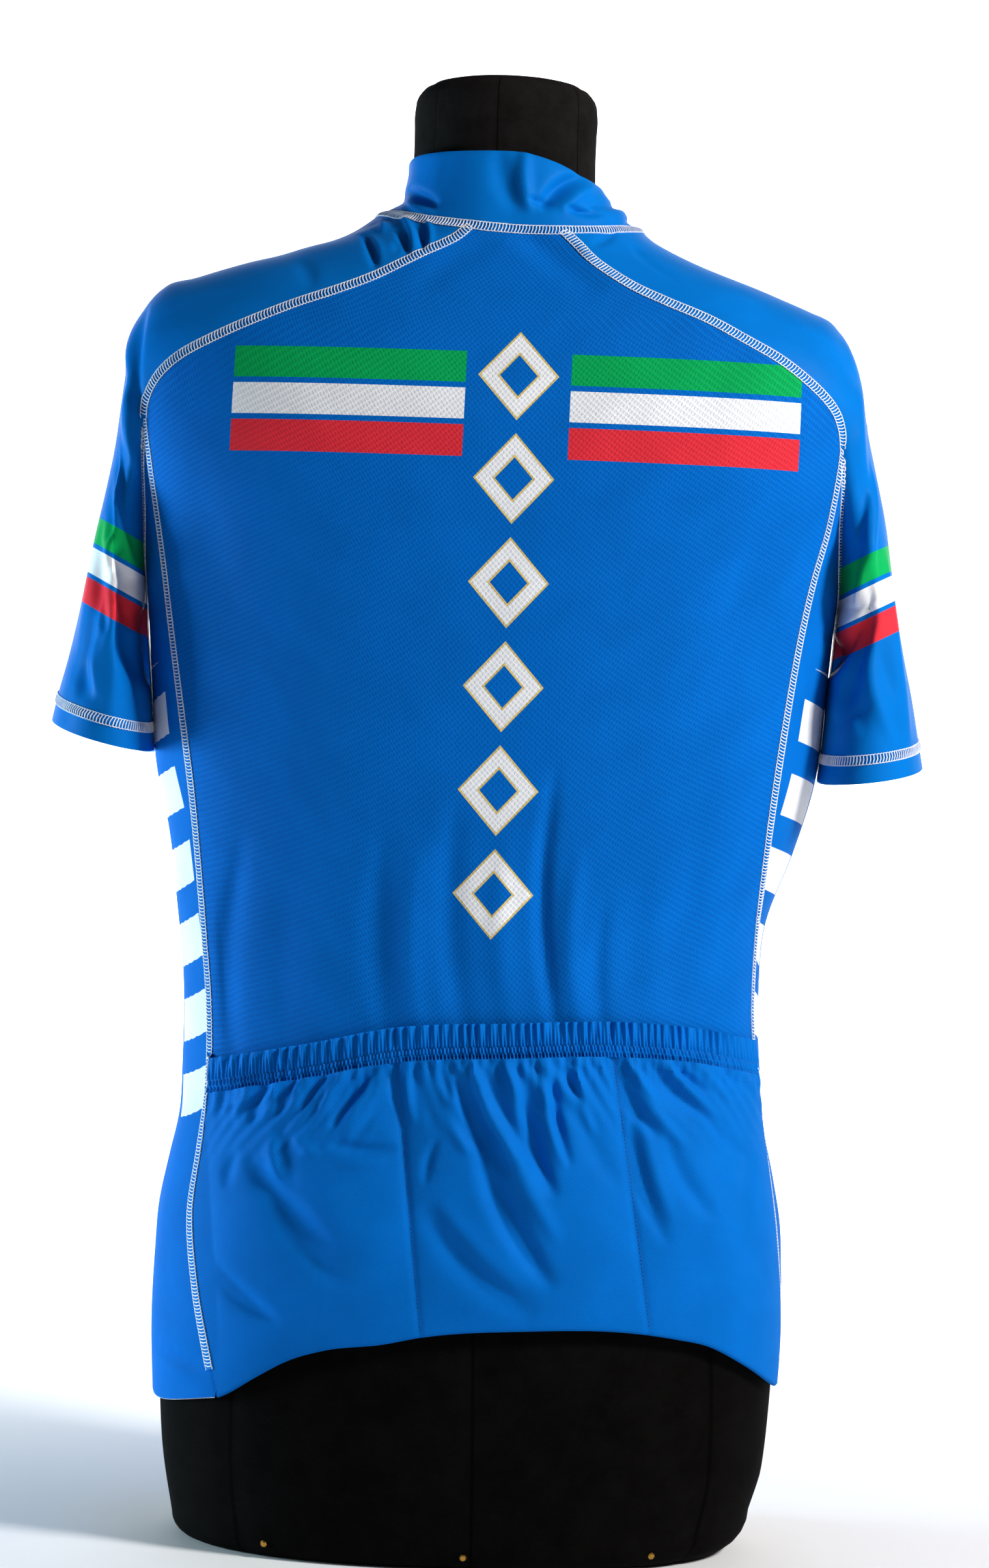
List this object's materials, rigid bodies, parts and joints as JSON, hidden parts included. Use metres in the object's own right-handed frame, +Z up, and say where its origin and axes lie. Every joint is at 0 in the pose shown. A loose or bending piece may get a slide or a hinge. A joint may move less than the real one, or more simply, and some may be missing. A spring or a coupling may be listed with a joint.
{
  "type": "cycling jersey on a dress form",
  "caption": "Short-sleeved cycling jersey with stand collar, full zip, raglan sleeves and gathered back pockets, fitted on a limbless cloth-covered dress form.",
  "frame": {"origin": "middle of the dress form's flat base", "axes": "+Z up through the neck, -Y out of the chest, +X to the wearer's left"},
  "size_m": [0.5639, 0.2675, 0.9395],
  "materials": {
    "mesh_knit": "open polyester mesh knit, dyed blue",
    "stretch_knit": "smooth stretch knit with a slight sheen, dyed blue",
    "form_cloth": "black woven cotton cover",
    "brass": "pin heads",
    "zip_tape": "woven tape with moulded chain",
    "slider_metal": "die-cast slider and tab, satin"
  },
  "bodies": {
    "garment_on_form": {"back_panel": "mesh_knit", "back_pocket": "mesh_knit", "pocket_elastic_band": "mesh_knit", "side_panel_left": "mesh_knit", "side_panel_right": "mesh_knit", "front_panel_left": "stretch_knit", "front_panel_right": "stretch_knit", "sleeve_left": "stretch_knit", "sleeve_right": "stretch_knit", "collar": "stretch_knit", "zip_tape": "zip_tape", "zip_tape_collar": "zip_tape", "zip_slider": "slider_metal", "dress_form": "form_cloth", "pin_1": "brass", "pin_2": "brass", "pin_3": "brass"},
    "pull_tab": {"zip_pull_tab": "slider_metal"}
  },
  "joints": [
    {"name": "pull_tab_hinge", "type": "hinge", "parent": "garment_on_form", "child": "pull_tab", "pos_m": [0, -0.08407, 0.82994], "axis": [-1, 0, 0], "range_deg": [0, 150]}
  ]
}
